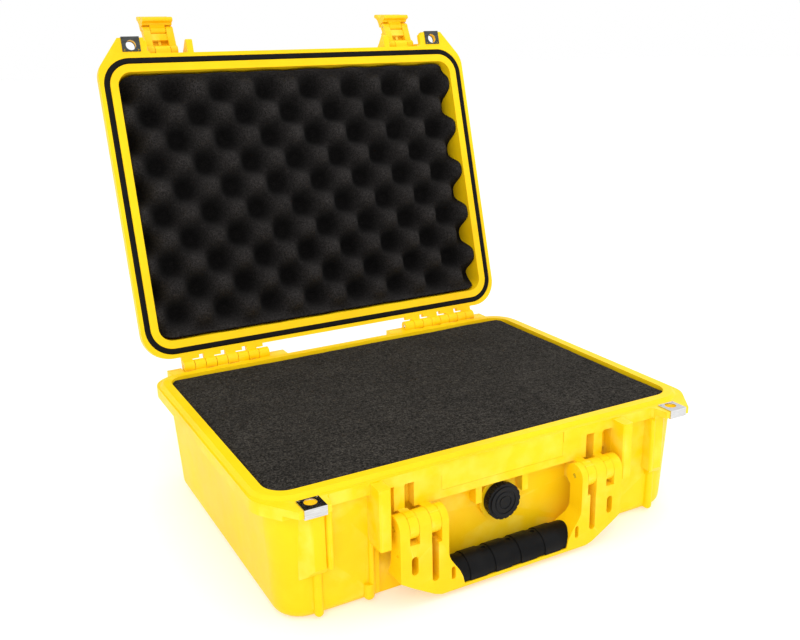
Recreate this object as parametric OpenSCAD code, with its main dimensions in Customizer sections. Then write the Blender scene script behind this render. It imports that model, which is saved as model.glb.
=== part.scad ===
// Hard equipment case: moulded tub and lid, folding handle, two double-throw latches,
// steel padlock plates, pressure valve, gasket and foam set. Millimetres, +Z up.
// Origin: centre of the underside. X runs along the width, -Y is the handle side,
// +Y is the hinge side. The lid is drawn open, the handle hanging, the latches thrown back.

/* [Shell] */
// Width of the tub opening between its long walls' ends
open_w = 468; // [460:1:476]
// Depth of the tub opening from front wall to back wall
open_d = 334; // [330:1:340]
// Height of the sealing lip above the ground
rim_z = 130; // [124:1:136]
// Thickness of the moulded walls
wall = 4; // [3:0.5:5]
// Inside corner radius of the tub opening
open_r = 22; // [18:1:26]
// How far each wall leans in from rim to floor
draft = 6; // [4:0.5:7]
// Radius where the walls roll into the floor
floor_r = 11; // [8:1:14]
// Width of the outer flange past the opening at the sides
flange_side = 16; // [15:0.5:17]
// Height of the outer flange band
flange_h = 12; // [11:0.5:12.5]

/* [Lid] */
// Depth of the lid above its mating plane
lid_h = 50; // [47:1:60]
// Angle between the closed lid and the open lid
lid_open = 105.3; // [60:0.1:105.3]
// Gap between the sealing lip and the lid's mating plane when closed
seal_gap = 1; // [0.8:0.1:1.4]
// Width of the gasket groove
groove_w = 7; // [6:0.5:7.5]
// Depth of the gasket groove
groove_t = 4.6; // [4:0.2:5]

/* [Hinge] */
// Distance of the hinge axis behind the centre
hinge_y = 195; // [195:0.5:197]
// Radius of the hinge barrels
barrel_r = 7; // [6.5:0.25:7.25]
// Radius of the steel hinge pins
hinge_pin_r = 2.5; // [2:0.1:3]
// Spacing between hinge knuckles of the same side
knuckle_pitch = 27.3; // [26.8:0.1:28]

/* [Handle] */
// Distance from centre to the outer side of each handle arm
arm_out = 129.2; // [128:0.2:130]
// Height of the handle pins above the ground
handle_z = 80.5; // [78:0.5:81]
// Distance of the handle pins in front of the centre
handle_y = 196.5; // [196.5:0.5:198]
// Radius of the handle barrels and lugs
handle_barrel_r = 12.8; // [12:0.1:13.6]
// Radius of the steel handle pins
handle_pin_r = 2.5; // [2.2:0.1:3]
// Half the length of the rubber grip
grip_half = 60; // [58:0.5:61]

/* [Latch] */
// Distance from centre to the middle of each latch
latch_x = 165.6; // [165.3:0.1:165.9]
// Width of the latch
latch_w = 37; // [32:0.5:37]
// How far the latch is thrown back from its closed position
latch_open = 100; // [80:1:100]
// Radius of the latch pivot pins
latch_pin_r = 2; // [1.6:0.1:2.2]
// Radius of the lever pins
lever_pin_r = 1.6; // [1.4:0.1:1.8]

/* [Fittings] */
// Distance from centre to each padlock plate
plate_x = 206.8; // [206:0.2:207.6]
// Radius of the padlock holes
padlock_r = 6; // [4.5:0.25:6]
// Height of the pressure valve above the ground
valve_z = 68; // [66:0.5:68.5]
// Radius of the pressure valve's knob
valve_r = 19; // [17:0.5:19]

/* [Hidden] */
$fn = 64;
YEL = [1.0, 0.84, 0.05];
BLK = [0.07, 0.07, 0.075];
STL = [0.75, 0.76, 0.77];
FOAM = [0.17, 0.17, 0.17];
hw = open_w / 2;              // half opening
hd = open_d / 2;
hinge_z = rim_z;              // hinge axis height
ledge_z = rim_z - 3;          // top of the outer flange
flange_z0 = ledge_z - flange_h; // underside of the outer flange
side_x = hw + flange_side;    // outer side of the flanges
front_y = 204;                // front of the tub's corner tabs
bay_y = 186;                  // front of the tub flange at the latches
band_y = 185;                 // front of the name band
band_z0 = 91;                 // lower edge of the name band
back_y = 183;                 // back of the flanges
mate_z = rim_z + seal_gap;    // the lid's mating plane, lid closed
lid_front = 202;              // front of the lid's corner tabs
lid_mid = 183;                // front of the lid flange between the tabs
lid_top = mate_z + lid_h;
lid_fl = 11;                  // thickness of the lid flange
tab_t = 7;                    // thickness of the corner tabs
lip_in = 5.3;                 // how far the lid's inner lip reaches into the opening
groove_0 = 4.1;               // inner side of the gasket groove past the opening
p1y = -190; p1z = rim_z + 20; // latch pivot, closed
p2y = -193; p2z = rim_z - 8;  // lever pivot, closed
lw = latch_w / 2;
leg_w = 8.6;                  // width of each latch leg
mid_w = latch_w - 2*leg_w - 1.2; // width of the parts between the legs
tub_front = 179.5;            // outer face of the front wall beside the handle bay
tab_x = 222;                  // outer corner of the corner tabs
knee_y = 165;                 // where the flange turns in towards the tab
kw = knuckle_pitch / 4 - 0.325; // half width of one knuckle
k0 = 98 + knuckle_pitch / 4;  // centre of the first tub knuckle
kend = k0 + 3.5 * knuckle_pitch + kw;
lug1 = [arm_out - 20, arm_out - 10.5]; // tub lugs and handle fingers, inner and outer side
lug2 = [arm_out - 43.4, arm_out - 33.3];
fin1 = [arm_out - 10.1, arm_out];
fin2 = [arm_out - 32.9, arm_out - 20.4];
fin3 = [arm_out - 51.2, arm_out - 43.8];
vy = -175.5;                  // face of the valve boss
eps = 0.02;

// ---------- helpers ----------
module slab2d(w, d, r) { square([w - 2*r, d], center=true); square([w, d - 2*r], center=true);
  for (x=[-1,1], y=[-1,1]) translate([x*(w/2-r), y*(d/2-r)]) circle(r=r, $fn=72); }
module slab(w, d, r, h) { linear_extrude(h) slab2d(w, d, r); }
// plan between two y values with its own front and back corner radii
module plan2d(hx, y0, y1, rf, rb) {
  translate([-hx, y0+rf]) square([2*hx, y1-y0-rf-rb]);
  translate([-hx+rf, y0]) square([2*(hx-rf), rf+eps]);
  translate([-hx+rb, y1-rb-eps]) square([2*(hx-rb), rb+eps]);
  for (s=[-1,1]) { translate([s*(hx-rf), y0+rf]) circle(r=rf, $fn=72);
    translate([s*(hx-rb), y1-rb]) circle(r=rb, $fn=72); } }
// leaning tub solid: rounded plan at the top, smaller and rolled under at the bottom
module tub(hx, hy, r, z0, z1, lean, roll) {
  hull() {
    for (x=[-1,1], y=[-1,1]) {
      translate([x*(hx-r), y*(hy-r), z1-1]) cylinder(r=r, h=1, $fn=48);
      translate([x*(hx-lean-r), y*(hy-lean-r), z0+roll])
        rotate_extrude($fn=48) translate([r-roll, 0]) intersection() {
          circle(r=roll, $fn=32); translate([0, -roll]) square([roll, roll]); }
    } } }
// the same with a front wall further out than the back wall
module tub_front_back(hx, yf, yb, rf, rb, z0, z1, lean, lean_f, roll) {
  hull() {
    for (x=[-1,1]) {
      translate([x*(hx-rf), -yf+rf, z1-1]) cylinder(r=rf, h=1, $fn=48);
      translate([x*(hx-rb), yb-rb, z1-1]) cylinder(r=rb, h=1, $fn=48);
      translate([x*(hx-lean-rf), -yf+lean_f+rf, z0+roll]) rotate_extrude($fn=48) translate([rf-roll, 0]) intersection() {
        circle(r=roll, $fn=32); translate([0, -roll]) square([roll, roll]); }
      translate([x*(hx-lean-rb), yb-lean-rb, z0+roll]) rotate_extrude($fn=48) translate([rb-roll, 0]) intersection() {
        circle(r=roll, $fn=32); translate([0, -roll]) square([roll, roll]); }
    } } }
// flange outline: round back corners, slanted front corners that end in the padlock tabs
module flange2d(yf, rb) {
  a = atan2(side_x-tab_x, yf-knee_y); r = 30; t = r*tan(a/2);
  for (m=[0,1]) mirror([m,0]) {
    polygon([[-eps, -yf], [tab_x, -yf], [side_x-t*sin(a), -knee_y-t*cos(a)], [side_x, -knee_y+t], [side_x, back_y-rb], [side_x-rb, back_y], [-eps, back_y]]);
    translate([side_x-r, -knee_y+t]) circle(r=r, $fn=96);
    translate([side_x-rb, back_y-rb]) circle(r=rb, $fn=96);
  } }
module bar_x(x0, x1, y, z, r) { translate([x0, y, z]) rotate([0,90,0]) cylinder(r=r, h=x1-x0); }
module opened() { translate([0, hinge_y, hinge_z]) rotate([-lid_open, 0, 0]) translate([0, -hinge_y, -hinge_z]) children(); }
module thrown() { translate([0, p1y, p1z]) rotate([-latch_open, 0, 0]) translate([0, -p1y, -p1z]) children(); }
module both() { children(); mirror([1,0,0]) children(); }
// upright rib with a round foot
module footed(w, d, z1) { translate([-w/2, -d+w/2, w/2]) cube([w, d, z1-w/2]); translate([0, -d+w/2, w/2]) { cylinder(r=w/2, h=z1-w/2); sphere(r=w/2, $fn=48); rotate([-90,0,0]) cylinder(r=w/2, h=d-w/2); } }
// upright rounded rib, its front rounded to a half cylinder
module rib(w, d, z0, z1) { translate([-w/2, -d+w/2, z0]) cube([w, d, z1-z0]); translate([0, -d+w/2, z0]) cylinder(r=w/2, h=z1-z0); }

// ---------- tub ----------
module lug(l) {
  bar_x(l[0], l[1], -handle_y, handle_z, handle_barrel_r);
  translate([l[0], -handle_y, handle_z-handle_barrel_r]) cube([l[1]-l[0], handle_y-hd, handle_barrel_r+band_z0-handle_z+1]);
  translate([l[0], -handle_y-7.5, handle_z]) cube([l[1]-l[0], 7.5+handle_y-band_y+1, band_z0-handle_z+1]);
}
module base_shell() { color(YEL) difference() {
  union() {
      union() {
        difference() {
          tub_front_back(hw+wall, tub_front, hd+wall, 30, open_r+wall, 0, ledge_z, draft, 3, floor_r);
          // bay the handle hangs in
          translate([-135, -tub_front-1, -1]) cube([270, tub_front+1-hd-3.4, band_z0+1]);
        }
        // outer flange with corner tabs
        translate([0,0,flange_z0]) linear_extrude(flange_h) difference() {
          flange2d(front_y, 34);
          polygon([[-192.5,-front_y-5],[-189,-188],[-186.4,-bay_y],[186.4,-bay_y],[189,-188],[192.5,-front_y-5]]);
        }
        // sealing lip
        hull() {
          translate([0,0,ledge_z-1]) slab(open_w+27, open_d+27, open_r+13.5, 1);
          translate([0,0,rim_z-0.6]) slab(open_w+19, open_d+19, open_r+9.5, 0.6);
        }
        // name band across the front and the ledge the hinge knuckles stand on
        translate([-136, -band_y, band_z0]) cube([272, band_y-hd-2, ledge_z-band_z0]);
        both() translate([75, back_y-4, 118]) cube([150, 203-back_y+4, 8.5]);
      }
    both() {
      lug(lug1); lug(lug2);
      // guard between the handle and the latch
      translate([0,0,65]) linear_extrude(ledge_z-66) polygon([[134.2,-hd-2], [134.2,-202.6], [135.6,-204], [144.8,-204],
        [146.2,-202.6], [146.2,-hd-2]]);
      // rib beside the latch bay and the pillar under the corner tab
      translate([188.2, -hd-2, 55]) rib(5.8, 22, 0, flange_z0-55+eps);
      intersection() {
        translate([0,0,40]) linear_extrude(flange_z0-40+eps) polygon([[191,-hd-2], [191,-186], [192.5,-187.5], [203.5,-187.5], [208,-184.8], [215,-176], [215,-hd-2]]);
        rotate([90,0,90]) linear_extrude(220) polygon([[-160,41], [-176,44], [-183,49], [-188,56], [-188,120], [-160,120]]);
      }
      // lower ribs with round feet
      translate([146.3, -hd-4, 2]) footed(11, 11, 18);
      translate([143.5, -hd-2, 12]) rib(6, 12, 0, 56);
      translate([198, -hd-4, 2]) footed(9, 11, 48);
      // ribs on the back
      for (x=[78, 216]) translate([x, hd, 0]) rotate([0,0,180]) rib(8, 14, 3, 118.5);
      // hinge knuckles
      for (i=[0:3]) bar_x(k0+i*knuckle_pitch-kw, k0+i*knuckle_pitch+kw, hinge_y, hinge_z, barrel_r);
      // gussets beside the valve
      for (x=[24]) translate([x, -182, 72]) cube([7, 14, 20]);
    }
    // boss under the valve
    translate([0, vy, valve_z]) rotate([-90,0,0]) cylinder(r=22, h=11, $fn=96);
  }
  // inside of the tub
  tub(hw, hd, open_r, wall, rim_z+2, draft, floor_r-wall+1);
  both() {
    // slots behind the handle fingers
    translate([101, -band_y-1, band_z0-10]) cube([10, 12, 116.5-band_z0+10]);
    translate([122, -band_y-1, band_z0-10]) cube([12, 12, 116.5-band_z0+10]);
    // the corner tabs are thinner than the flange
    translate([184, -front_y-6, flange_z0-1]) cube([70, front_y+6-190, flange_h+1-tab_t]);
    // padlock holes
    translate([plate_x, -193, flange_z0-1]) cylinder(r=padlock_r+0.5, h=flange_h+4);
    // handle pin bores
    bar_x(fin3[0]-3, arm_out+1, -handle_y, handle_z, handle_pin_r);
    // hinge pin bores and the gaps for the lid's knuckles
    bar_x(k0-kw-1, kend+1, hinge_y, hinge_z, hinge_pin_r);
    for (i=[0:3]) translate([k0+(i+0.5)*knuckle_pitch-kw-0.65, hinge_y-barrel_r-0.6, 110]) cube([2*kw+1.3, 30, 40]);
    for (i=[0:3]) translate([k0+(i+0.5)*knuckle_pitch-1, 184.2, 120]) cube([6.5, 4, 12]);
    // steel plate seats
    translate([plate_x-10.9, -front_y-1, ledge_z-0.2]) cube([21.8, 19.7, 3]);
  }
  // nameplate seat
  translate([-71.2, -band_y-1, 99.3]) cube([142.4, 1.8, 26.9]);
  // valve bore and the flat seat of its nut
  translate([0, vy-2, valve_z]) rotate([-90,0,0]) cylinder(r=8.1, h=30);
  translate([0, -166.2, valve_z]) rotate([-90,0,0]) cylinder(r=16, h=14);
}}

// ---------- lid (drawn closed, then opened) ----------
module lid_knuckle(x) {
  bar_x(x-kw, x+kw, hinge_y, hinge_z, barrel_r);
  translate([x-kw, back_y-5, mate_z]) cube([2*kw, hinge_y-back_y+5, barrel_r-1]);
  // strip that closes most of the gap to the next knuckle
  translate([x-knuckle_pitch+kw+5.5, back_y-5, mate_z]) cube([knuckle_pitch-2*kw-5, 9, barrel_r-1]);
}
module ear(x0) { translate([x0, 0, 0]) rotate([90,0,90]) linear_extrude(7.6)
  polygon([[-hd, mate_z], [-197.5, mate_z], [-199.5, mate_z+2], [-199.5, mate_z+6], [-192, mate_z+16], [-185.5, mate_z+26.5], [-181, mate_z+28.5], [-hd, mate_z+28.5]]); }
module lid_shell() { color(YEL) opened() difference() {
  union() {
      union() {
        translate([0,0,lid_top]) mirror([0,0,1]) tub(hw+1, hd+1, open_r, 0, lid_h-lid_fl+2, 4, floor_r);
        translate([0,0,mate_z]) linear_extrude(lid_fl) difference() {
          flange2d(lid_front, 34);
          polygon([[-191.5,-lid_front-5],[-189,-188],[-185,-lid_mid],[185,-lid_mid],[189,-188],[191.5,-lid_front-5]]);
        }
      }
    both() {
      // guards beside each latch and the boss it turns on
      ear(131.9); ear(188);
      bar_x(latch_x-mid_w/2, latch_x+mid_w/2, p1y, p1z, 6.5);
      translate([latch_x-mid_w/2, p1y, p1z-6.5]) cube([mid_w, -p1y-hd+1, 11.5]);
      for (i=[0:3]) lid_knuckle(k0 + (i+0.5)*knuckle_pitch);
      // broad pads on the lid's top
      translate([0, 0, lid_top-1]) for (y=[-98, 0, 98]) translate([112, y, 0]) slab(150, 46, 8, 3.5);
      // front ribs between the latches
      for (x=[46, 104]) translate([x, -hd+2, mate_z+5]) rib(8, 9, 0, 34);
    }
  }
  // inside of the lid
  translate([0,0,lid_top-wall]) mirror([0,0,1]) tub(hw-lip_in, hd-lip_in, open_r-5, 0, lid_h-wall+2, 3, floor_r-wall);
  // gasket groove
  translate([0,0,mate_z-1]) linear_extrude(groove_t+1) difference() {
    slab2d(open_w+2*(groove_0+groove_w), open_d+2*(groove_0+groove_w), open_r+groove_0+groove_w);
    slab2d(open_w+2*groove_0, open_d+2*groove_0, open_r+groove_0);
  }
  both() {
    // the corner tabs are thinner than the flange
    translate([184, -lid_front-6, mate_z+tab_t]) cube([70, lid_front+6-188, lid_fl]);
    translate([plate_x, -193, mate_z-1]) cylinder(r=padlock_r+0.5, h=lid_fl+3);
    bar_x(latch_x-mid_w/2-1, latch_x+mid_w/2+1, p1y, p1z, latch_pin_r);
    bar_x(k0-kw-1, kend+1, hinge_y, hinge_z, hinge_pin_r+0.05);
    translate([plate_x-10.9, -lid_front-1, mate_z-2]) cube([21.8, 17.7, 2.2]);
    translate([plate_x-10.9, -lid_front-1, mate_z+tab_t-0.2]) cube([21.8, 13.2, 2.2]);
  }
}}
module lid_gasket() { color(BLK) opened() translate([0,0,mate_z-0.5]) linear_extrude(groove_t) difference() {
  slab2d(open_w+2*(groove_0+groove_w)-0.4, open_d+2*(groove_0+groove_w)-0.4, open_r+groove_0+groove_w-0.2);
  slab2d(open_w+2*groove_0+0.4, open_d+2*groove_0+0.4, open_r+groove_0+0.2);
}}
module lid_foam() { color(FOAM) opened() translate([0,0,lid_top-wall-0.4]) mirror([0,0,1])
  tub(hw-lip_in-1.2, hd-lip_in-1.2, open_r-6, 0, lid_h-wall-1.4, 2.6, floor_r-wall+1); }

// ---------- foam set ----------
function inset(z) = draft*(rim_z-z)/(rim_z-floor_r);
module foam(z0, z1, gap) { hull() {
  translate([0,0,z0]) slab(2*(hw-inset(z0)-gap), 2*(hd-inset(z0)-gap), open_r-2, 1);
  translate([0,0,z1-1]) slab(2*(hw-inset(z1)-gap), 2*(hd-inset(z1)-gap), open_r-2, 1); } }
module nut_pocket() { translate([0, -hd-2, valve_z]) rotate([-90,0,0]) cylinder(r=17, h=14); }
module pluck_foam_upper() { color(FOAM) difference() { foam(75.3, rim_z-1.2, 0.8); nut_pocket(); } }
module pluck_foam_lower() { color(FOAM) difference() { foam(24.3, 75, 0.8); nut_pocket(); } }
module base_foam_pad() { color(FOAM) translate([0,0,wall+0.4]) slab(open_w-2*draft-14, open_d-2*draft-14, open_r-5, 19.5); }

// ---------- pins ----------
module hinge_pin() { bar_x(k0-kw+0.5, kend-0.5, hinge_y, hinge_z, hinge_pin_r); }
module hinge_pin_right() { color(STL) hinge_pin(); }
module hinge_pin_left() { color(STL) mirror([1,0,0]) hinge_pin(); }
module handle_pin() { bar_x(fin3[0]+0.4, arm_out-4, -handle_y, handle_z, handle_pin_r); }
module handle_pin_right() { color(STL) handle_pin(); }
module handle_pin_left() { color(STL) mirror([1,0,0]) handle_pin(); }

// ---------- handle ----------
// side outline of an arm
module arm_side() { polygon([[-190, handle_z], [-190, 48], [-187.5, 38], [-182.5, 29], [-178.5, 20], [-178, 12], [-180.5, 6], [-183, 3.2],
  [-205.5, 3.2], [-208.8, 5.4], [-209.3, 7.5], [-209.3, handle_z]]); }
// front outline of an arm down to the grip's end
module arm_front() { polygon([[59, 3.2], [82, 4], [94, 8.6], [103, 13.8], [118.5, 23], [arm_out, 30], [arm_out, handle_z],
  [fin3[0], handle_z], [fin3[0], 47], [77.2, 42.5], [75, 38], [66.2, 25.3], [62.6, 17.5], [60.7, 9.3]]); }
module handle_frame() { color(YEL) difference() {
  union() {
    both() {
      intersection() {
        translate([grip_half-4,0,0]) rotate([90,0,90]) linear_extrude(arm_out-grip_half+4) arm_side();
        translate([0,-150,0]) rotate([90,0,0]) linear_extrude(100) arm_front();
      }
      for (f=[fin1, fin2, fin3]) bar_x(f[0], f[1], -handle_y, handle_z, handle_barrel_r);
    }
    // core bar inside the grip and the lip under it
    translate([-grip_half-6, -203, 5]) cube([2*grip_half+12, 21, 15]);
    translate([-grip_half-2, 0, 0]) rotate([90,0,90]) linear_extrude(2*grip_half+4) polygon([[-180.5,9.2], [-180.5,6], [-183,3.2], [-205.5,3.2], [-208.8,5.4], [-209.3,7.5], [-209.3,9.2]]);
  }
  both() {
    bar_x(fin3[0]-6, arm_out+1, -handle_y, handle_z, handle_pin_r+0.05);
    // gaps between the fingers
    translate([fin2[1], -212, 66.3]) cube([fin1[0]-fin2[1], 40, 50]);
    translate([fin3[1], -212, 62]) cube([fin2[0]-fin3[1], 40, 50]);
    // slots through the arm
    translate([110.8, -212, 38.5]) cube([7, 40, 12]);
    for (z=[38.5, 50.5]) translate([114.3, -212, z]) rotate([-90,0,0]) cylinder(r=3.5, h=40, $fn=48);
    translate([88.9, -212, 25.8]) cube([7.2, 40, 37]);
    translate([92.5, -212, 25.8]) rotate([-90,0,0]) cylinder(r=3.6, h=40, $fn=48);
    // hollows in the web
    translate([70.9, -211, 20]) cube([4.4, 10, 9]);
    for (z=[20, 29]) translate([73.1, -211, z]) rotate([-90,0,0]) cylinder(r=2.2, h=10, $fn=32);
    bar_x(arm_out-3, arm_out+1, -203.5, 56, 1.4);
  }
}}
module handle_grip() { color(BLK) difference() {
  union() {
    bar_x(-70, 70, -192.4, 13.8, 16);
    for (x=[-44, -15, 15, 44]) bar_x(x-9.5, x+9.5, -192.4, 13.8, 16.9);
  }
  both() translate([-0.4, -150, 0]) rotate([90,0,0]) linear_extrude(100) arm_front();
  translate([-75, -203.3, 0]) cube([150, 21.6, 20.3]);
  translate([-75, -215, -10]) cube([150, 45, 19.4]);
  for (x=[-29.5, 0, 29.5]) translate([x, -192.4, 28.6]) cylinder(r=2.4, h=5, $fn=32);
}}

// ---------- latches (drawn closed on the right, then thrown back and opened with the lid) ----------
module latch_arm_closed() { difference() {
  union() {
    for (s=[-1,1]) translate([latch_x + s*(lw-leg_w/2) - leg_w/2, 0, 0]) {
      bar_x(0, leg_w, p1y, p1z, 6.5);
      rotate([90,0,90]) linear_extrude(leg_w) polygon([[p1y-7.2, p1z], [p1y-7.2, p2z+5], [p2y-4.4, p2z+2], [p2y+4.6, p2z+2], [p1y+2.5, p1z]]);
      bar_x(0, leg_w, p2y, p2z, 5);
    }
    translate([latch_x-lw, p1y-11, p2z+6]) cube([latch_w, 4.1, p1z-p2z-0.5]);
    translate([latch_x-lw, p1y-8, p2z+5.6]) cube([latch_w, 8.5, 8.4]);
    translate([latch_x-1.6, p1y-8, p2z+12]) cube([3.2, 5, 7]);
  }
  bar_x(latch_x-lw-1, latch_x+lw+1, p1y, p1z, latch_pin_r+0.05);
  bar_x(latch_x-lw-1, latch_x+lw+1, p2y, p2z, lever_pin_r);
}}
module latch_lever_closed() { difference() {
  union() {
    // outer plate with its curled pull tab
    translate([latch_x-lw, 0, 0]) rotate([90,0,90]) linear_extrude(latch_w) polygon([
      [-197.3, p2z-3.2], [-197.3, p2z-16], [-199, p2z-20], [-202.5, p2z-23.5], [-207.4, p2z-25.4], [-209, p2z-24.6], [-209.2, p2z-21.8],
      [-206.2, p2z-19.4], [-203.4, p2z-15.5], [-202.2, p2z-11], [-202, p2z-4.6], [-200.6, p2z-3.2]]);
    // hook that reaches under the tub flange
    translate([latch_x-lw, 0, 0]) rotate([90,0,90]) linear_extrude(latch_w) polygon([
      [-198, p2z-6], [-189, p2z-6], [-187.6, p2z-7.8], [-182.2, p2z-7.8], [-181.3, p2z-9.2], [-181.6, p2z-11.6], [-183.6, p2z-13.6], [-188, p2z-14.6], [-198, p2z-14.8]]);
    bar_x(latch_x-mid_w/2, latch_x+mid_w/2, p2y, p2z, 4.8);
    translate([latch_x-mid_w/2, -198, p2z-9]) cube([mid_w, 8.5, 8]);
  }
  bar_x(latch_x-lw-1, latch_x+lw+1, p2y, p2z, lever_pin_r+0.05);
}}
module latch_pivot_pin_closed() { bar_x(latch_x-lw+0.6, latch_x+lw-0.6, p1y, p1z, latch_pin_r); }
module latch_lever_pin_closed() { bar_x(latch_x-lw+0.6, latch_x+lw-0.6, p2y, p2z, lever_pin_r); }
module latch_right_arm() { color(YEL) opened() thrown() latch_arm_closed(); }
module latch_left_arm() { color(YEL) opened() thrown() mirror([1,0,0]) latch_arm_closed(); }
module latch_right_lever() { color(YEL) opened() thrown() latch_lever_closed(); }
module latch_left_lever() { color(YEL) opened() thrown() mirror([1,0,0]) latch_lever_closed(); }
module latch_right_pivot_pin() { color(STL) opened() latch_pivot_pin_closed(); }
module latch_left_pivot_pin() { color(STL) opened() mirror([1,0,0]) latch_pivot_pin_closed(); }
module latch_right_lever_pin() { color(STL) opened() thrown() latch_lever_pin_closed(); }
module latch_left_lever_pin() { color(STL) opened() thrown() mirror([1,0,0]) latch_lever_pin_closed(); }

// ---------- padlock plates: bent steel clips around the corner tabs ----------
module plate_base() { difference() {
  union() {
    translate([plate_x-10.7, -front_y-1.1, ledge_z]) cube([21.4, 19.6, 1.1]);
    translate([plate_x-10.7, -front_y-1.1, ledge_z-tab_t-1.2]) cube([21.4, 1, tab_t+2]);
    translate([plate_x-10.7, -front_y-1.1, ledge_z-tab_t-1.2]) cube([21.4, 14, 1.1]);
  }
  translate([plate_x, -193, ledge_z-12]) cylinder(r=padlock_r, h=16);
  for (s=[-1,1]) translate([plate_x+s*8.2, -187.4, ledge_z-1]) cylinder(r=0.9, h=6, $fn=32);
}}
module plate_lid() { difference() {
  union() {
    translate([plate_x-10.7, -lid_front-1.1, mate_z-1]) cube([21.4, 17.6, 1.1]);
    translate([plate_x-10.7, -lid_front-1.1, mate_z-1]) cube([21.4, 1, tab_t+2]);
    translate([plate_x-10.7, -lid_front-1.1, mate_z+tab_t-0.1]) cube([21.4, 13, 1.1]);
  }
  translate([plate_x, -193, mate_z-4]) cylinder(r=padlock_r, h=16);
  for (s=[-1,1]) translate([plate_x+s*8.2, -187.4, mate_z-3]) cylinder(r=0.9, h=6, $fn=32);
}}
module padlock_plate_base_right() { color(STL) plate_base(); }
module padlock_plate_base_left() { color(STL) mirror([1,0,0]) plate_base(); }
module padlock_plate_lid_right() { color(STL) opened() plate_lid(); }
module padlock_plate_lid_left() { color(STL) opened() mirror([1,0,0]) plate_lid(); }

// ---------- pressure valve ----------
module vcyl(r, y0, y1) { translate([0, y0, valve_z]) rotate([-90,0,0]) cylinder(r=r, h=y1-y0); }
module valve_body() { color(BLK) difference() {
  union() { vcyl(valve_r-1, vy-4.6, vy-0.3); vcyl(8, vy-1, vy+15.5); }
  vcyl(5.5, vy-3.4, vy+16);
  difference() { vcyl(13.4, vy-2.1, vy); vcyl(11.2, vy-3, vy+1); }
}}
module valve_cap() { color(BLK) difference() {
  union() { vcyl(valve_r, vy-10.4, vy-4.8); vcyl(valve_r-3, vy-11.8, vy-10.3); }
  difference() { vcyl(12.6, vy-13, vy-11); vcyl(10.6, vy-14, vy-10); }
  difference() { vcyl(7.4, vy-13, vy-11.1); vcyl(5.8, vy-14, vy-10); }
  for (a=[0:20:340]) translate([(valve_r+0.4)*sin(a), vy-11, valve_z+(valve_r+0.4)*cos(a)]) rotate([-90,0,0]) cylinder(r=1.2, h=7, $fn=24);
}}
module valve_seal() { color([0.2,0.2,0.2]) translate([0, vy-1.05, valve_z]) rotate([90,0,0]) rotate_extrude($fn=96) translate([12.3, 0]) circle(r=0.85, $fn=24); }
module valve_nut() { color(BLK) difference() { translate([0, -166, valve_z]) rotate([-90,0,0]) cylinder(r=15, h=5, $fn=6); vcyl(8.05, vy, vy+20); } }
module valve_membrane() { color([0.92,0.92,0.9]) vcyl(5.3, vy+8, vy+8.8); }

module nameplate() { color(YEL) translate([-71, -band_y-0.2, 99.5]) cube([142, 0.9, 26.5]); }

base_shell();
lid_shell();
lid_gasket();
lid_foam();
pluck_foam_upper();
pluck_foam_lower();
base_foam_pad();
hinge_pin_left();
hinge_pin_right();
handle_frame();
handle_grip();
handle_pin_left();
handle_pin_right();
latch_left_arm();
latch_left_lever();
latch_left_pivot_pin();
latch_left_lever_pin();
latch_right_arm();
latch_right_lever();
latch_right_pivot_pin();
latch_right_lever_pin();
padlock_plate_base_left();
padlock_plate_base_right();
padlock_plate_lid_left();
padlock_plate_lid_right();
valve_body();
valve_cap();
valve_seal();
valve_nut();
valve_membrane();
nameplate();
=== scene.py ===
import math
import bpy
import bmesh
import numpy as np
from mathutils import Matrix, Vector, noise


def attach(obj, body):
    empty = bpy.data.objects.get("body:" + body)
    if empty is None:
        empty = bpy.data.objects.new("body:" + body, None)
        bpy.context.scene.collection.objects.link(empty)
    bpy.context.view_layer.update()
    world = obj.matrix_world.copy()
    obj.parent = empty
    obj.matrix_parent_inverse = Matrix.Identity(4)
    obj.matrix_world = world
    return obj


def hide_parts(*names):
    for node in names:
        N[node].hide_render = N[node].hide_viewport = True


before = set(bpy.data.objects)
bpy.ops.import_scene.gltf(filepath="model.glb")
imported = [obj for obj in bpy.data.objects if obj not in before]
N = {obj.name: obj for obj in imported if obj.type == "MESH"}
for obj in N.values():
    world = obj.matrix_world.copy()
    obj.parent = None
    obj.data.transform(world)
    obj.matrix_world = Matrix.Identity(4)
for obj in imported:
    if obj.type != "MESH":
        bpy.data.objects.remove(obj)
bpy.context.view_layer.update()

# ---------------------------------------------------------------- camera
CAM_POS = (-0.4704, -0.8533, 0.5068)
FWD = Vector((0.45193, 0.84212, -0.29428)).normalized()
RIGHT = Vector((0.87799, -0.47825, -0.02022))
RIGHT = (RIGHT - FWD * RIGHT.dot(FWD)).normalized()
UP = RIGHT.cross(FWD).normalized()
cam_data = bpy.data.cameras.new("camera")
cam_data.lens = 41.35
cam_data.sensor_width = 36.0
cam_data.clip_end = 50
cam = bpy.data.objects.new("camera", cam_data)
bpy.context.scene.collection.objects.link(cam)
M = Matrix.Identity(4)
for i in range(3):
    M[i][0] = RIGHT[i]; M[i][1] = UP[i]; M[i][2] = -FWD[i]; M[i][3] = CAM_POS[i]
cam.matrix_world = M
bpy.context.scene.camera = cam
bpy.context.scene.view_settings.view_transform = "Standard"
bpy.context.scene.view_settings.look = "None"

# ---------------------------------------------------------------- materials
def new_mat(name):
    m = bpy.data.materials.new(name); m.use_nodes = True
    nt = m.node_tree
    b = nt.nodes["Principled BSDF"]
    return m, nt, b

def tex(nt, scale, detail=3.0, rough=0.5):
    co = nt.nodes.new("ShaderNodeTexCoord")
    n = nt.nodes.new("ShaderNodeTexNoise")
    n.inputs["Scale"].default_value = scale
    n.inputs["Detail"].default_value = detail
    n.inputs["Roughness"].default_value = rough
    nt.links.new(co.outputs["Object"], n.inputs["Vector"])
    return n.outputs["Fac"]

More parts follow.
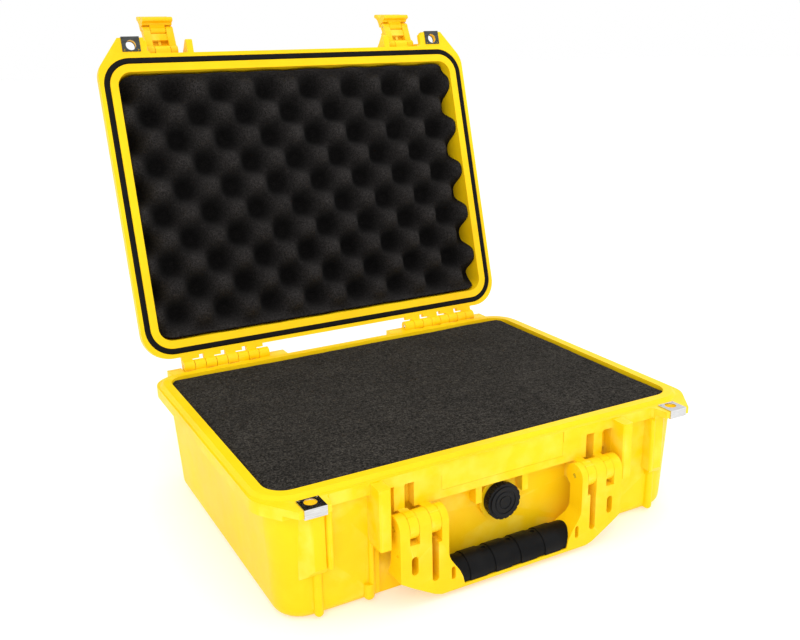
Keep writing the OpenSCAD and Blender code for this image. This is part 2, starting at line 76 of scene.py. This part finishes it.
def ramp(nt, fac, stops):
    r = nt.nodes.new("ShaderNodeValToRGB")
    els = r.color_ramp.elements
    els[0].position = stops[0][0]; els[0].color = (*stops[0][1], 1)
    els[1].position = stops[-1][0]; els[1].color = (*stops[-1][1], 1)
    for p, c in stops[1:-1]:
        e = els.new(p); e.color = (*c, 1)
    nt.links.new(fac, r.inputs["Fac"])
    return r.outputs["Color"]

def mix(nt, fac, a, b, mode="MIX"):
    n = nt.nodes.new("ShaderNodeMix"); n.data_type = "RGBA"; n.blend_type = mode
    for s, v in ((n.inputs[0], fac), (n.inputs[6], a), (n.inputs[7], b)):
        if isinstance(v, (int, float)): s.default_value = v
        elif isinstance(v, tuple): s.default_value = (*v, 1)
        else: nt.links.new(v, s)
    return n.outputs[2]

def rng(nt, fac, lo, hi, a=0.0, b=1.0):
    n = nt.nodes.new("ShaderNodeMapRange")
    n.inputs["From Min"].default_value = a; n.inputs["From Max"].default_value = b
    n.inputs["To Min"].default_value = lo; n.inputs["To Max"].default_value = hi
    nt.links.new(fac, n.inputs["Value"])
    return n.outputs["Result"]

def bump(nt, bsdf, *layers):
    prev = None
    for h, strength, dist in layers:
        b = nt.nodes.new("ShaderNodeBump")
        b.inputs["Strength"].default_value = strength
        b.inputs["Distance"].default_value = dist
        nt.links.new(h, b.inputs["Height"])
        if prev is not None: nt.links.new(prev, b.inputs["Normal"])
        prev = b.outputs["Normal"]
    nt.links.new(prev, bsdf.inputs["Normal"])

def pointy(nt, lo, hi, top=1.0):
    g = nt.nodes.new("ShaderNodeNewGeometry")
    return rng(nt, g.outputs["Pointiness"], 0.0, top, lo, hi)

def yellow(name, base=(1.0, 0.655, 0.004), dark=(0.93, 0.56, 0.002), rough=(0.34, 0.48), fine=1.0):
    m, nt, b = new_mat(name)
    big = tex(nt, 7.0, 4.0, 0.55)
    mott = tex(nt, 70.0, 3.0, 0.6)
    col = ramp(nt, big, [(0.30, dark), (0.62, base)])
    col = mix(nt, rng(nt, mott, 0.0, 0.22, 0.45, 0.8), col, (1.0, 0.72, 0.02))
    # edges rub slightly paler
    wear = nt.nodes.new("ShaderNodeMath"); wear.operation = "MULTIPLY"
    nt.links.new(pointy(nt, 0.515, 0.60), wear.inputs[0])
    nt.links.new(rng(nt, tex(nt, 45.0, 4.0), 0.0, 0.55, 0.4, 0.75), wear.inputs[1])
    col = mix(nt, wear.outputs[0], col, (1.0, 0.79, 0.12))
    nt.links.new(col, b.inputs["Base Color"])
    nt.links.new(rng(nt, tex(nt, 28.0, 5.0), rough[0], rough[1], 0.3, 0.7), b.inputs["Roughness"])
    bump(nt, b, (tex(nt, 1500.0, 2.0), 0.10 * fine, 0.0004), (tex(nt, 20.0, 2.0), 0.05, 0.002))
    b.inputs["Specular IOR Level"].default_value = 0.16
    b.inputs["Subsurface Weight"].default_value = 0.06
    b.inputs["Subsurface Radius"].default_value = (1.0, 0.6, 0.1)
    b.inputs["Subsurface Scale"].default_value = 0.004
    return m

def foam_mat(name, lo, hi, pore=1100.0, depth=0.0006, sheen=0.12, valley_shade=None, mottle=1.0):
    m, nt, b = new_mat(name)
    co = nt.nodes.new("ShaderNodeTexCoord")
    v = nt.nodes.new("ShaderNodeTexVoronoi"); v.feature = "F1"
    v.inputs["Scale"].default_value = pore
    nt.links.new(co.outputs["Object"], v.inputs["Vector"])
    grain = tex(nt, pore * 1.4, 2.0, 0.7)
    both = nt.nodes.new("ShaderNodeMath"); both.operation = "MULTIPLY"
    nt.links.new(rng(nt, v.outputs["Distance"], 0.35, 1.15, 0.1, 0.75), both.inputs[0])
    nt.links.new(rng(nt, grain, 0.35, 1.25, 0.3, 0.7), both.inputs[1])
    col = ramp(nt, both.outputs[0], [(0.12, lo), (0.95, hi)])
    cloud = rng(nt, tex(nt, 14.0, 5.0, 0.6), 0.82, 1.15, 0.3, 0.7)
    speck = rng(nt, tex(nt, pore * 0.72, 3.0, 0.8), 1.0 - 0.70 * mottle, 1.0 + 0.75 * mottle, 0.40, 0.62)
    lit = nt.nodes.new("ShaderNodeMath"); lit.operation = "MULTIPLY"
    nt.links.new(cloud, lit.inputs[0]); nt.links.new(speck, lit.inputs[1])
    mul = nt.nodes.new("ShaderNodeVectorMath"); mul.operation = "SCALE"
    nt.links.new(col, mul.inputs[0]); nt.links.new(lit.outputs[0], mul.inputs["Scale"])
    out = mul.outputs[0]
    # painted shade: the egg-crate valleys are darkened by the rise attribute, to about a quarter of the colour at their
    # floors and about half on the sides and back, standing in for the shadow in the pits
    if valley_shade is not None:
        at = nt.nodes.new("ShaderNodeAttribute"); at.attribute_name = "rise"
        sc = nt.nodes.new("ShaderNodeVectorMath"); sc.operation = "SCALE"
        nt.links.new(out, sc.inputs[0]); nt.links.new(rng(nt, at.outputs["Fac"], valley_shade, 1.15, 0.12, 0.95), sc.inputs["Scale"])
        out = sc.outputs[0]
    nt.links.new(out, b.inputs["Base Color"])
    b.inputs["Roughness"].default_value = 0.95
    b.inputs["Specular IOR Level"].default_value = 0.05
    b.inputs["Sheen Weight"].default_value = sheen
    b.inputs["Sheen Roughness"].default_value = 0.6
    nt.links.new(rng(nt, grain, 0.86, 1.0), b.inputs["Roughness"])
    bump(nt, b, (both.outputs[0], 0.55, depth), (tex(nt, 160.0, 3.0), 0.25, 0.001))
    return m

def black(name, base=(0.012, 0.012, 0.013), hi=(0.03, 0.03, 0.032), rough=(0.36, 0.55), grain=1400.0, spec=0.4, worn=0.05):
    m, nt, b = new_mat(name)
    col = ramp(nt, tex(nt, 40.0, 5.0), [(0.35, base), (0.7, hi)])
    col = mix(nt, pointy(nt, 0.515, 0.62, 0.6), col, (worn, worn, worn * 1.03))
    nt.links.new(col, b.inputs["Base Color"])
    nt.links.new(rng(nt, tex(nt, 60.0, 4.0), rough[0], rough[1], 0.3, 0.7), b.inputs["Roughness"])
    bump(nt, b, (tex(nt, grain, 2.0), 0.18, 0.0003))
    b.inputs["Specular IOR Level"].default_value = spec
    return m

def steel(name, axis=(1, 22, 22), rough=(0.20, 0.36), lo=(0.50, 0.50, 0.49), hi=(0.72, 0.72, 0.71)):
    m, nt, b = new_mat(name)
    co = nt.nodes.new("ShaderNodeTexCoord")
    mp = nt.nodes.new("ShaderNodeMapping"); mp.inputs["Scale"].default_value = axis
    nt.links.new(co.outputs["Object"], mp.inputs["Vector"])
    n = nt.nodes.new("ShaderNodeTexNoise"); n.inputs["Scale"].default_value = 90; n.inputs["Detail"].default_value = 4
    nt.links.new(mp.outputs[0], n.inputs["Vector"])
    nt.links.new(ramp(nt, n.outputs["Fac"], [(0.3, lo), (0.7, hi)]), b.inputs["Base Color"])
    b.inputs["Metallic"].default_value = 1.0
    nt.links.new(rng(nt, n.outputs["Fac"], rough[0], rough[1], 0.3, 0.7), b.inputs["Roughness"])
    bump(nt, b, (n.outputs["Fac"], 0.06, 0.0002))
    return m

def white_mat(name):
    m, nt, b = new_mat(name)
    nt.links.new(ramp(nt, tex(nt, 300.0, 3.0), [(0.3, (0.78, 0.78, 0.76)), (0.7, (0.86, 0.86, 0.84))]), b.inputs["Base Color"])
    b.inputs["Roughness"].default_value = 0.7
    bump(nt, b, (tex(nt, 2500.0, 2.0), 0.3, 0.0002))
    return m

Y_SHELL = yellow("yellow_shell")
Y_LATCH = yellow("yellow_latch", base=(1.0, 0.60, 0.003), dark=(0.92, 0.50, 0.002), rough=(0.30, 0.44), fine=0.6)
Y_HANDLE = yellow("yellow_handle", base=(1.0, 0.64, 0.004), dark=(0.93, 0.55, 0.002), rough=(0.30, 0.42), fine=0.5)
Y_PLATE = yellow("yellow_plate", base=(1.0, 0.67, 0.006), dark=(0.95, 0.60, 0.003), rough=(0.40, 0.5), fine=0.4)
GASKET = black("gasket", base=(0.0022, 0.0022, 0.0022), hi=(0.0050, 0.0050, 0.0050), rough=(0.55, 0.7), spec=0.12, worn=0.012)
GRIP = black("grip_rubber", base=(0.0030, 0.0030, 0.0032), hi=(0.0070, 0.0070, 0.0074), rough=(0.36, 0.52), spec=0.09, worn=0.012)
VALVE = black("valve_black", base=(0.0036, 0.0036, 0.0040), hi=(0.0085, 0.0085, 0.0092), rough=(0.26, 0.38), grain=2200.0, spec=0.13, worn=0.02)
# egg_foam gets painted shade in its valleys and on its sides and back
EGG = foam_mat("egg_foam", (0.0022, 0.0020, 0.0019), (0.026, 0.0235, 0.0225), pore=560.0, depth=0.0008, sheen=0.01, valley_shade=0.26, mottle=0.35)
PLUCK = foam_mat("pluck_foam", (0.0024, 0.0022, 0.0018), (0.042, 0.0375, 0.0315), pore=560.0, depth=0.0007, sheen=0.01)
PLATE = steel("steel_plate", rough=(0.07, 0.15))
PLATE_LID = steel("steel_plate_lid", rough=(0.12, 0.22), lo=(0.045, 0.048, 0.046), hi=(0.12, 0.125, 0.12))
PIN = steel("steel_pin", axis=(1, 8, 8), rough=(0.16, 0.28))
MEMB = white_mat("membrane")

# ---------------------------------------------------------------- CAD nodes that stay: rounded edges and better materials
def dress(node, mat, bevel=0.0006, segments=2, angle=30):
    o = N[node]
    if not o.material_slots:
        o.data.materials.append(mat)
    for s in o.material_slots:
        s.material = mat
    w = o.modifiers.new("weld", "WELD"); w.merge_threshold = 0.00001
    d = o.modifiers.new("flat", "DECIMATE"); d.decimate_type = "DISSOLVE"; d.angle_limit = math.radians(0.6)
    if bevel:
        b = o.modifiers.new("round", "BEVEL"); b.width = bevel; b.segments = segments
        b.limit_method = "ANGLE"; b.angle_limit = math.radians(angle)
        b.miter_outer = "MITER_ARC"; b.use_clamp_overlap = True
    t = o.modifiers.new("tri", "TRIANGULATE")
    wn = o.modifiers.new("normals", "WEIGHTED_NORMAL"); wn.keep_sharp = False; wn.weight = 60
    return o

# ---------------------------------------------------------------- copies of CAD meshes, reworked as pieces of their own
def reworked(node, name, body, mat, steps, angle=26, base=0.0006, seg=2):
    """A copy of a node's mesh with its edges rounded, larger where steps say so."""
    src = N[node]
    bm = bmesh.new(); bm.from_mesh(src.data)
    bmesh.ops.remove_doubles(bm, verts=bm.verts, dist=0.00002)
    bmesh.ops.dissolve_limit(bm, angle_limit=math.radians(0.5), verts=bm.verts, edges=bm.edges, delimit=set())
    for width, segs, pick in steps:
        bm.edges.ensure_lookup_table()
        es = [e for e in bm.edges if len(e.link_faces) == 2 and e.calc_face_angle(0) > math.radians(angle) and pick(e)]
        if es:
            bmesh.ops.bevel(bm, geom=es, offset=width, offset_type="OFFSET", segments=segs, profile=0.5,
                            affect="EDGES", clamp_overlap=True, miter_outer="ARC")
    me = bpy.data.meshes.new(name); bm.to_mesh(me); bm.free()
    o = bpy.data.objects.new(name, me)
    bpy.context.scene.collection.objects.link(o)
    me.materials.append(mat)
    for p in me.polygons: p.use_smooth = True
    if base:
        b = o.modifiers.new("round", "BEVEL"); b.width = base; b.segments = seg
        b.limit_method = "ANGLE"; b.angle_limit = math.radians(angle + 4); b.use_clamp_overlap = True
        b.miter_outer = "MITER_ARC"
    o.modifiers.new("tri", "TRIANGULATE")
    wn = o.modifiers.new("normals", "WEIGHTED_NORMAL"); wn.keep_sharp = False; wn.weight = 60
    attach(o, body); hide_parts(node)
    return o

for n in ("hinge_pin_left", "hinge_pin_right", "handle_pin_left", "handle_pin_right", "latch_left_pivot_pin",
          "latch_left_lever_pin", "latch_right_pivot_pin", "latch_right_lever_pin"):
    dress(n, PIN, 0.0003)
for n in ("padlock_plate_base_left", "padlock_plate_base_right"):
    dress(n, PLATE, 0.00025, 2)
for n in ("padlock_plate_lid_left", "padlock_plate_lid_right"):
    dress(n, PLATE_LID, 0.00025, 2)
dress("base_shell", Y_SHELL, 0.0011, 3, 24)
dress("lid_shell", Y_SHELL, 0.0010, 3)
dress("handle_frame", Y_HANDLE, 0.0013, 3)
dress("handle_grip", GRIP, 0.0008, 3)
for s in ("left", "right"):
    dress("latch_%s_arm" % s, Y_LATCH, 0.0007, 3)
    dress("latch_%s_lever" % s, Y_LATCH, 0.0007, 3)
dress("nameplate", Y_PLATE, 0.0003, 2)
dress("lid_gasket", GASKET, 0.0018, 4)
dress("valve_body", VALVE, 0.0005, 2)
dress("valve_cap", VALVE, 0.0005, 2)
dress("valve_nut", VALVE, 0.0005, 2)
dress("valve_seal", GASKET, 0.0)
dress("valve_membrane", MEMB, 0.0001)

# ---------------------------------------------------------------- foam
def lid_open(p):
    a = math.radians(-105.3); y = p[1] - 0.195; z = p[2] - 0.130
    return (p[0], 0.195 + y * math.cos(a) - z * math.sin(a), 0.130 + y * math.sin(a) + z * math.cos(a))

def rounded_grid(hx, hy, r, xs, ys):
    """Points of a rounded rectangle on a grid: each row is as long as the outline is there."""
    P = []
    for v in ys:
        y = v * hy
        over = abs(y) - (hy - r)
        ext = hx if over <= 0 else hx - r + math.sqrt(max(0.0, r * r - over * over))
        P.append([(u * ext, y) for u in xs])
    return P

def sheet_solid(name, top, ring_levels, mat, flip=False):
    """Closed solid from a grid of top points and further outline rings under it; the last ring is capped."""
    ny = len(top); nx = len(top[0])
    V = [p for row in top for p in row]; F = []
    idx = lambda j, i: j * nx + i
    for j in range(ny - 1):
        for i in range(nx - 1):
            F.append((idx(j, i), idx(j, i + 1), idx(j + 1, i + 1), idx(j + 1, i)))
    ring = [idx(0, i) for i in range(nx)] + [idx(j, nx - 1) for j in range(1, ny)] + \
           [idx(ny - 1, i) for i in range(nx - 2, -1, -1)] + [idx(j, 0) for j in range(ny - 2, 0, -1)]
    prev = ring
    for level in ring_levels:
        base = len(V)
        V += [level(V[k]) for k in ring]
        cur = list(range(base, base + len(ring)))
        for k in range(len(ring)):
            k2 = (k + 1) % len(ring)
            F.append((prev[k2], prev[k], cur[k], cur[k2]))
        prev = cur
    F.append(tuple(prev))
    if flip: F = [tuple(reversed(f)) for f in F]
    me = bpy.data.meshes.new(name); me.from_pydata(V, [], F); me.update()
    bm = bmesh.new(); bm.from_mesh(me)
    bmesh.ops.triangulate(bm, faces=[f for f in bm.faces if len(f.verts) > 4])
    bmesh.ops.recalc_face_normals(bm, faces=bm.faces)
    bm.to_mesh(me); bm.free()
    o = bpy.data.objects.new(name, me); bpy.context.scene.collection.objects.link(o)
    me.materials.append(mat)
    for p in me.polygons: p.use_smooth = True
    return o

def egg_crate():
    HX, HY, R = 0.2272, 0.1583, 0.016
    pit, z_peak, z_back, amp = 0.0303, 0.1322, 0.1762, 0.0300
    nx, ny = 220, 156
    xs = np.linspace(-1, 1, nx); ys = np.linspace(-1, 1, ny)
    G = rounded_grid(HX, HY, R, xs, ys)
    top = []; rise = []
    for row in G:
        out = []
        for x, y in row:
            # the sheet sits about a degree askew in the lid
            u = x + 0.0218 * y; v = y - 0.0218 * x
            w = math.cos(math.pi * (u - 0.0165) / pit) * math.cos(math.pi * (v - 0.0145) / (pit * 1.003))
            # rounded peaks, valleys that narrow towards their floor
            s = 0.5 - 0.5 * w
            s = s * s * (3 - 2 * s) * 0.85 + s * 0.15
            # the sheet is squeezed against the long walls, so it stands higher there
            s *= 1.0 - 0.80 * math.exp(-(HY - abs(y)) / 0.010)
            n = noise.noise(Vector((x * 90, y * 90, 3.1))) * 0.0005 + noise.noise(Vector((x * 22, y * 22, 7.7))) * 0.0010
            d = min(HX - abs(x), HY - abs(y))
            z = z_peak + amp * s + n + 0.0010 * math.exp(-max(d, 0) / 0.003) + 0.0006
            out.append((x, y, max(z, z_peak)))
            # rise is 1 on the peaks and 0 at the valley floors; the foam material uses it to paint shade into the
            # valleys
            rise.append(1.0 - s)
        top.append(out)
    lv = [lambda p: (p[0] * 1.0, p[1] * 1.0, p[2] + (z_back - p[2]) * 0.5), lambda p: (p[0] * 0.994, p[1] * 0.992, z_back)]
    o = sheet_solid("convoluted_lid_foam", top, lv, EGG, flip=True)
    # the sides and back take rise 0.4, so the material paints them in middling shade
    at = o.data.attributes.new("rise", "FLOAT", "POINT")
    vals = rise + [0.4] * (len(o.data.vertices) - len(rise))
    at.data.foreach_set("value", vals)
    for v in o.data.vertices: v.co = lid_open(v.co)
    o.data.update()
    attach(o, "lid"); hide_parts("lid_foam")
    return o

def cut_lines(h, cell):
    """Grid positions over -h..h with three close lines at each cut."""
    n = int(round(2 * h / cell)); c = 2 * h / n
    xs = [-h]
    for k in range(n):
        a = -h + k * c; b = a + c
        if k: xs += [a - 0.0004, a, a + 0.0004]
        xs += [a + c * 0.33, a + c * 0.67]
    xs.append(h)
    cuts = [-h + k * c for k in range(1, n)]
    return xs, cuts

def block_foam(name, node, z0, z1, h0, h1, r, cell=0.0152, groove=0.00022, pocket=None, fill=1.0):
    HX, HY = h1
    xs, cx = cut_lines(HX, cell); ys, cy = cut_lines(HY, cell)
    G = rounded_grid(HX, HY, r, [x / HX for x in xs], [y / HY for y in ys])
    top = []
    for row, y0 in zip(G, ys):
        out = []
        dcy = min(abs(y0 - c) for c in cy)
        for (x, y), x0 in zip(row, xs):
            dcx = min(abs(x0 - c) for c in cx)
            g = groove if (dcx < 1e-5 or dcy < 1e-5) else 0.0
            ci = math.floor((x0 + HX) / cell); cj = math.floor((y0 + HY) / cell)
            step = noise.noise(Vector((ci * 3.7, cj * 5.3, 1.3))) * 0.00010
            lump = noise.noise(Vector((x * 14, y * 14, 5.0))) * 0.0007 + noise.noise(Vector((x * 60, y * 60, 9.0))) * 0.00025
            d = min(HX - abs(x), HY - abs(y))
            edge = 0.0026 * math.exp(-max(d, 0) / 0.0022)
            out.append((x, y, z1 - 0.0012 - g + step + lump - edge))
        top.append(out)
    kx, ky = h0[0] / HX, h0[1] / HY
    def lvl(t):
        def f(p):
            k = 1 + (kx - 1) * t; l = 1 + (ky - 1) * t
            x = p[0] * k; y = p[1] * l
            if pocket and y < -(HY - 0.02) and abs(x) < pocket[0]:
                zz = p[2] + (z0 - p[2]) * t
                q = math.sqrt(max(0.0, pocket[0] ** 2 - x * x))
                if abs(zz - pocket[1]) < q: y += pocket[2]
            return (x, y, p[2] + (z0 - p[2]) * t)
        return f
    levels = [lvl(t) for t in (0.04, 0.2, 0.4, 0.6, 0.8, 0.97, 1.0)]
    o = sheet_solid(name, top, levels, PLUCK)
    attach(o, "base"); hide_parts(node)
    return o

egg_crate()
block_foam("block_foam_top_layer", "pluck_foam_upper", 0.0754, 0.1291, (0.2304, 0.1634), (0.2331, 0.1661), 0.020)
block_foam("block_foam_lower_layer", "pluck_foam_lower", 0.0244, 0.0749, (0.2279, 0.1609), (0.2302, 0.1632), 0.020)
block_foam("flat_foam_floor_pad", "base_foam_pad", 0.0045, 0.0238, (0.2205, 0.1535), (0.2205, 0.1535), 0.017, cell=0.06, groove=0.0)

# ---------------------------------------------------------------- floor and light
def floor():
    me = bpy.data.meshes.new("floor"); s = 14.0
    n = 24
    V = [(-s + 2 * s * i / n, -s + 2 * s * j / n, -0.0002) for j in range(n + 1) for i in range(n + 1)]
    F = [(j * (n + 1) + i, j * (n + 1) + i + 1, (j + 1) * (n + 1) + i + 1, (j + 1) * (n + 1) + i) for j in range(n) for i in range(n)]
    me.from_pydata(V, [], F); me.update()
    o = bpy.data.objects.new("floor", me); bpy.context.scene.collection.objects.link(o)
    m, nt, b = new_mat("floor")
    nt.links.new(ramp(nt, tex(nt, 3.0, 3.0), [(0.3, (0.78, 0.78, 0.79)), (0.7, (0.80, 0.80, 0.81))]), b.inputs["Base Color"])
    b.inputs["Roughness"].default_value = 0.8
    b.inputs["Specular IOR Level"].default_value = 0.2
    b.inputs["Emission Color"].default_value = (1, 1, 1, 1)
    b.inputs["Emission Strength"].default_value = 0.27
    me.materials.append(m)

def area(name, loc, aim, size, power, color=(1, 1, 1)):
    d = bpy.data.lights.new(name, "AREA"); d.shape = "RECTANGLE"; d.size = size[0]; d.size_y = size[1]
    d.energy = power; d.color = color
    o = bpy.data.objects.new(name, d); bpy.context.scene.collection.objects.link(o)
    v = Vector(loc) - Vector(aim)
    o.matrix_world = Matrix.Translation(loc) @ v.to_track_quat("Z", "Y").to_matrix().to_4x4()
    return o

floor()
area("key", (-1.5, -2.5, 1.9), (0, -0.1, 0.10), (2.4, 1.8), 31)
area("right", (2.6, -1.2, 1.6), (0, 0, 0.2), (1.8, 1.8), 10)
area("top", (0.2, 0.4, 3.2), (0, 0, 0), (3.0, 3.0), 20)
w = bpy.data.worlds.new("world"); bpy.context.scene.world = w; w.use_nodes = True
bg = w.node_tree.nodes["Background"]
bg.inputs["Color"].default_value = (1, 1, 1, 1)
bg.inputs["Strength"].default_value = 1.0
